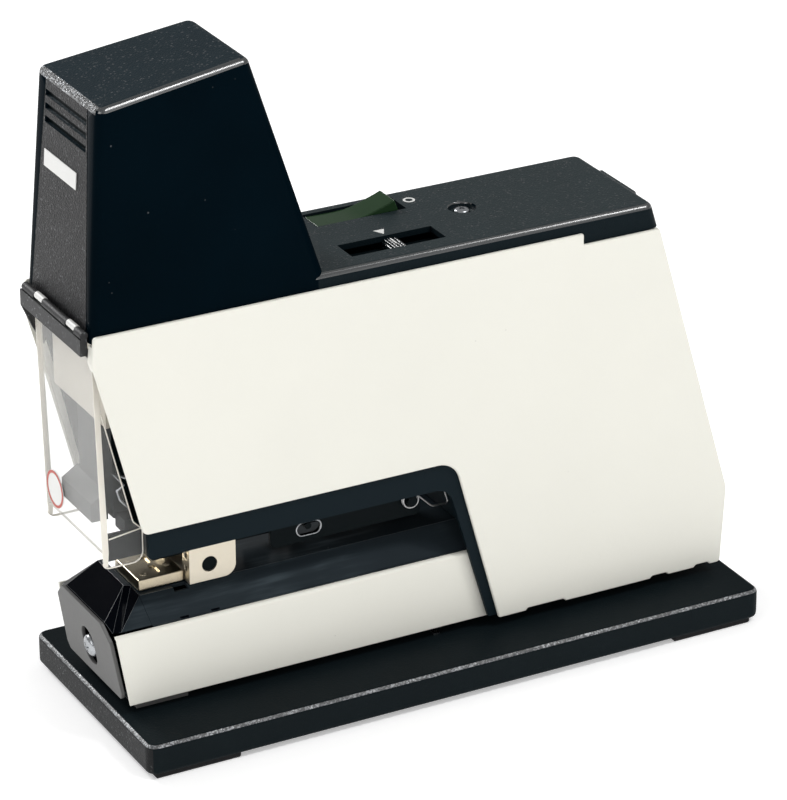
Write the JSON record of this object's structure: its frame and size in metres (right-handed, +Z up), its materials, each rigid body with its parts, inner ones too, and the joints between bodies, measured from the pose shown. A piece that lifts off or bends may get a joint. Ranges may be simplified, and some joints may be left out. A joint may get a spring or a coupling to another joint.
{
  "type": "electric stapler",
  "caption": "Mains electric desk stapler: white sheet-metal body with black solenoid tower on a flat base, paper throat over a lower anvil arm, clear hinged finger guard",
  "frame": {"origin": "centre of the overall plan, in the plane that the feet stand on", "axes": "+X rearwards from the stapling head to the mains inlet, +Y to the left of someone standing at the front, +Z up"},
  "size_m": [0.26, 0.098, 0.2486],
  "materials": {
    "textured_black": "fine leather-grain moulded black, semi-matt",
    "gloss_black": "smooth gloss black",
    "painted_black": "satin black enamel on steel",
    "painted_white": "satin warm off-white enamel on sheet steel",
    "painted_grey": "satin dark grey enamel",
    "beige_plastic": "plain beige moulding",
    "clear_plastic": "clear acrylic with cream edges",
    "green_plastic": "dark green translucent rocker",
    "white_plastic": "plain white moulding",
    "bright_steel": "zinc-plated or bare steel",
    "nickel_plate": "warm nickel plate on steel",
    "copper_wire": "enamelled copper winding",
    "black_rubber": "black rubber",
    "circuit_board": "green glass-fibre board"
  },
  "bodies": {
    "root": {"base_plate": "textured_black", "foot_front_right": "black_rubber", "foot_front_left": "black_rubber", "foot_rear_right": "black_rubber", "foot_rear_left": "black_rubber", "stand_front": "bright_steel", "stand_rear": "bright_steel", "chassis_plate_right": "painted_black", "chassis_plate_left": "painted_black", "cross_rod_front": "bright_steel", "cross_rod_rear": "bright_steel", "throat_pan": "painted_black", "throat_bulkhead": "painted_black", "side_cover_right": "painted_white", "side_cover_left": "painted_white", "top_cover": "textured_black", "deck_screw": "bright_steel", "switch_case": "gloss_black", "slider_body": "gloss_black", "rear_panel": "textured_black", "mains_inlet": "gloss_black", "control_board": "circuit_board", "capacitor": "gloss_black", "microswitch": "gloss_black", "solenoid_yoke": "bright_steel", "bobbin": "white_plastic", "solenoid_coil": "copper_wire", "return_spring": "bright_steel", "head_casting": "painted_black", "head_plate": "beige_plastic", "arm_channel": "painted_black", "arm_front_plate": "painted_grey", "arm_front_screw": "bright_steel", "arm_hood": "gloss_black", "arm_panel_right": "painted_white", "arm_panel_left": "painted_white", "anvil_plate": "nickel_plate", "guard_pin_right": "white_plastic", "guard_pin_left": "white_plastic", "magazine_cradle": "gloss_black", "magazine_pivot_pin": "bright_steel", "magazine_lift_spring": "bright_steel", "trigger_pin": "bright_steel"},
    "guard": {"guard_bracket": "textured_black", "guard_shield": "clear_plastic"},
    "rocker": {"rocker": "green_plastic"},
    "slider": {"slider_knob": "gloss_black"},
    "driver": {"plunger": "bright_steel", "plunger_collar": "bright_steel", "driver_carrier": "bright_steel", "driver_blade": "bright_steel"},
    "magazine": {"magazine_channel": "painted_black", "magazine_core": "bright_steel", "staple_strip": "bright_steel", "pusher_spring": "bright_steel"},
    "pusher": {"pusher": "gloss_black"},
    "paper_stop": {"paper_stop": "nickel_plate"},
    "trigger": {"trigger_lever": "bright_steel"}
  },
  "joints": [
    {"name": "guard_hinge", "type": "hinge", "parent": "root", "child": "guard", "pos_m": [-0.1283, 0, 0.1625], "axis": [0, 1, 0], "range_deg": [0, 95]},
    {"name": "rocker_tilt", "type": "hinge", "parent": "root", "child": "rocker", "pos_m": [-0.0046, 0.0168, 0.1631], "axis": [0, 1, 0], "range_deg": [0, 16]},
    {"name": "force_slide", "type": "slide", "parent": "root", "child": "slider", "axis": [1, 0, 0], "range_m": [-0.015, 0.013]},
    {"name": "driver_stroke", "type": "slide", "parent": "root", "child": "driver", "axis": [0, 0, -1], "range_m": [0, 0.013], "stiffness_N_per_m": 400, "springref_m": -0.015, "deforming": ["return_spring"]},
    {"name": "magazine_pivot", "type": "hinge", "parent": "root", "child": "magazine", "pos_m": [0.001, 0, 0.066], "axis": [0, -1, 0], "range_deg": [0, 2.5], "stiffness_Nm_per_rad": 1, "springref_deg": -5.73},
    {"name": "pusher_slide", "type": "slide", "parent": "magazine", "child": "pusher", "axis": [1, 0, 0], "range_m": [0, 0.028], "stiffness_N_per_m": 60, "springref_m": -0.02, "deforming": ["pusher_spring"]},
    {"name": "paper_stop_slide", "type": "slide", "parent": "root", "child": "paper_stop", "axis": [1, 0, 0], "range_m": [0, 0.03]},
    {"name": "trigger_swing", "type": "hinge", "parent": "root", "child": "trigger", "pos_m": [-0.08, 0.017, 0.0815], "axis": [0, -1, 0], "range_deg": [0, 10], "stiffness_Nm_per_rad": 0.01, "springref_deg": -5.73}
  ]
}
